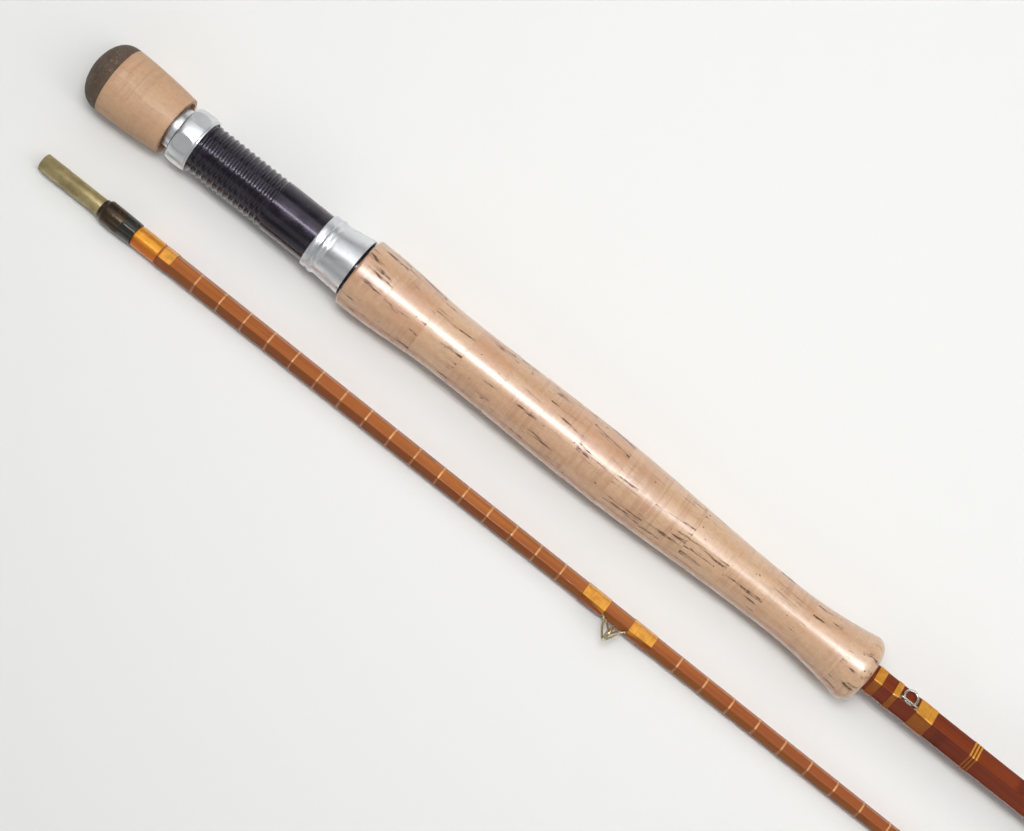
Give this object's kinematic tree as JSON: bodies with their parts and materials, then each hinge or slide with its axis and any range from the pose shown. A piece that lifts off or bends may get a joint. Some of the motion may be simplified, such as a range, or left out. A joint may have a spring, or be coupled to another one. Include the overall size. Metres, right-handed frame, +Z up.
{
  "type": "fly rod",
  "caption": "Split-cane fly rod in a butt and a tip section, with cork grip, screw-locking reel seat, keeper ring, whipped wire guides and a push-fit ferrule.",
  "frame": {"origin": "middle of the bottom of the box round both sections, on the surface that they lie on", "axes": "+X along the rod from the butt to the tip, +Y from the tip section to the butt section, +Z up"},
  "size_m": [1.3894, 0.0608, 0.0314],
  "materials": {
    "cork": "sanded natural cork with small dark pits",
    "dark_cork": "dark composite cork and rubber, sanded",
    "cane": "flamed bamboo under clear varnish",
    "bush": "plain softwood, hidden under the seat tube",
    "bright_metal": "turned and polished, lightly scratched",
    "dark_anodised": "dark purple-black anodised",
    "black_insert": "plain black moulding",
    "ferrule_metal": "dull slide, darkened body",
    "guide_wire": "hard chromed wire",
    "keeper_wire": "bright wire",
    "winding_thread": "gold thread under clear varnish"
  },
  "bodies": {
    "butt_section": {"butt_button": "dark_cork", "butt_cork_1": "cork", "butt_cork_2": "cork", "rear_collar": "bright_metal", "seat_barrel": "dark_anodised", "seat_bush": "bush", "fixed_hood": "black_insert", "grip_ring_1": "cork", "grip_ring_2": "cork", "grip_ring_3": "cork", "grip_ring_4": "cork", "grip_ring_5": "cork", "grip_ring_6": "cork", "grip_ring_7": "cork", "grip_ring_8": "cork", "grip_ring_9": "cork", "grip_ring_10": "cork", "grip_ring_11": "cork", "grip_ring_12": "cork", "grip_ring_13": "cork", "grip_ring_14": "cork", "butt_strip_1": "cane", "butt_strip_2": "cane", "butt_strip_3": "cane", "butt_strip_4": "cane", "butt_strip_5": "cane", "butt_strip_6": "cane", "keeper_staple": "keeper_wire", "stripping_guide": "guide_wire", "butt_guide": "guide_wire", "female_ferrule": "ferrule_metal", "grip_winding": "winding_thread", "keeper_windings": "winding_thread", "signature_windings": "winding_thread", "butt_guide_windings": "winding_thread", "female_winding": "winding_thread"},
    "nut_washer": {"nut_washer": "bright_metal"},
    "locking_nut": {"locking_nut": "bright_metal"},
    "sliding_hood": {"sliding_hood": "bright_metal"},
    "keeper_ring": {"keeper_ring": "keeper_wire"},
    "tip_section": {"male_ferrule": "ferrule_metal", "tip_strip_1": "cane", "tip_strip_2": "cane", "tip_strip_3": "cane", "tip_strip_4": "cane", "tip_strip_5": "cane", "tip_strip_6": "cane", "tip_guide_1": "guide_wire", "tip_guide_2": "guide_wire", "tip_guide_3": "guide_wire", "tip_guide_4": "guide_wire", "tip_guide_5": "guide_wire", "tip_guide_6": "guide_wire", "tip_guide_7": "guide_wire", "tip_top": "guide_wire", "male_winding": "winding_thread", "tip_bands": "winding_thread", "tip_guide_windings": "winding_thread"}
  },
  "joints": [
    {"name": "nut_travel", "type": "slide", "parent": "butt_section", "child": "nut_washer", "axis": [1, 0, 0], "range_m": [0, 0.0081]},
    {"name": "nut_turn", "type": "hinge", "parent": "nut_washer", "child": "locking_nut", "pos_m": [-0.653, 0.01721, 0.0132], "axis": [1, 0, 0], "range_deg": [0, 1260]},
    {"name": "hood_slide", "type": "slide", "parent": "butt_section", "child": "sliding_hood", "axis": [1, 0, 0], "range_m": [-0.042, 0]},
    {"name": "keeper_swing", "type": "hinge", "parent": "butt_section", "child": "keeper_ring", "pos_m": [-0.3421, 0.01907, 0.01981], "axis": [1, 0, 0], "range_deg": [0, 150]},
    {"name": "tip_slide", "type": "slide", "parent": "butt_section", "child": "tip_section", "axis": [0.9998, 0.0205, 0.0047], "range_m": [0, 1.8504]}
  ],
  "couplings": [
    {"joint": "nut_travel", "follows": "nut_turn", "m_per_rad": 0.00036606}
  ]
}
